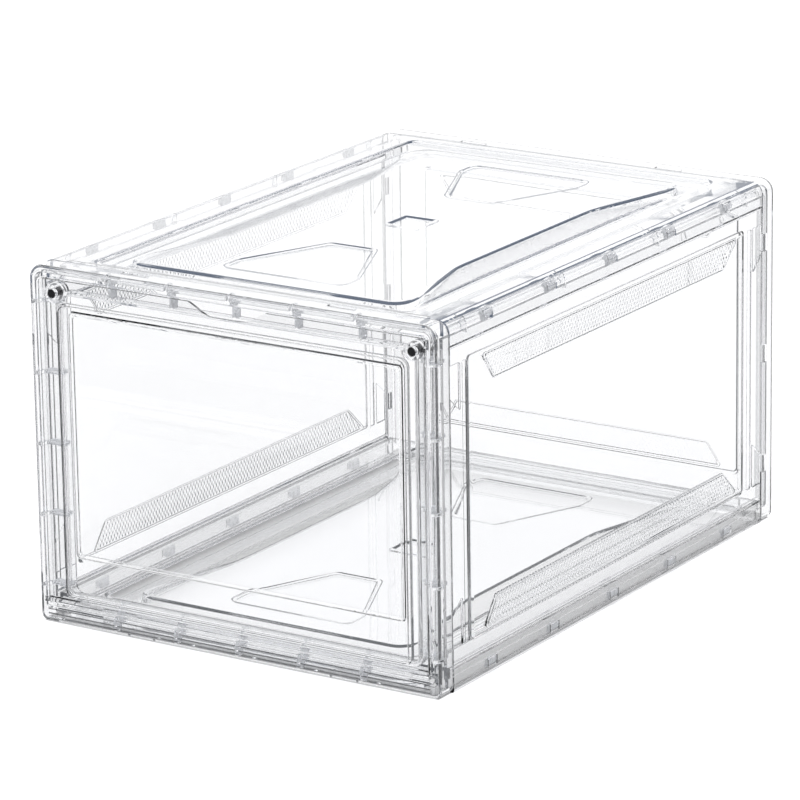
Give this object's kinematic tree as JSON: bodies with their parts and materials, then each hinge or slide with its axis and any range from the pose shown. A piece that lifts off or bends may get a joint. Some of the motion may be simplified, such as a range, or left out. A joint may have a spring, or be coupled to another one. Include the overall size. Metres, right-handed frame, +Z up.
{
  "type": "drop-front shoe box",
  "caption": "Clear plastic shoe box of snap-together panels, with a magnet-held door that drops forward on a hinge along its lower edge.",
  "frame": {"origin": "centre of the closed box's footprint, on the floor it stands on", "axes": "+X to the right seen from the door, +Y from the door to the back, +Z up"},
  "size_m": [0.26, 0.364, 0.203],
  "materials": {
    "base_clear": "clear, polished",
    "top_clear": "clear, polished",
    "side_clear": "clear, polished, with textured strips",
    "back_clear": "clear, polished",
    "frame_clear": "clear, polished",
    "door_clear": "clear, polished",
    "magnet": "black coated"
  },
  "bodies": {
    "box": {"base_panel": "base_clear", "top_panel": "top_clear", "left_side_panel": "side_clear", "right_side_panel": "side_clear", "back_panel": "back_clear", "front_frame": "frame_clear", "frame_magnet_left": "magnet", "frame_magnet_right": "magnet"},
    "door": {"door_panel": "door_clear", "door_magnet_left": "magnet", "door_magnet_right": "magnet"}
  },
  "joints": [
    {"name": "door_hinge", "type": "hinge", "parent": "box", "child": "door", "pos_m": [0, -0.1798, 0.013], "axis": [1, 0, 0], "range_deg": [0, 90]}
  ]
}
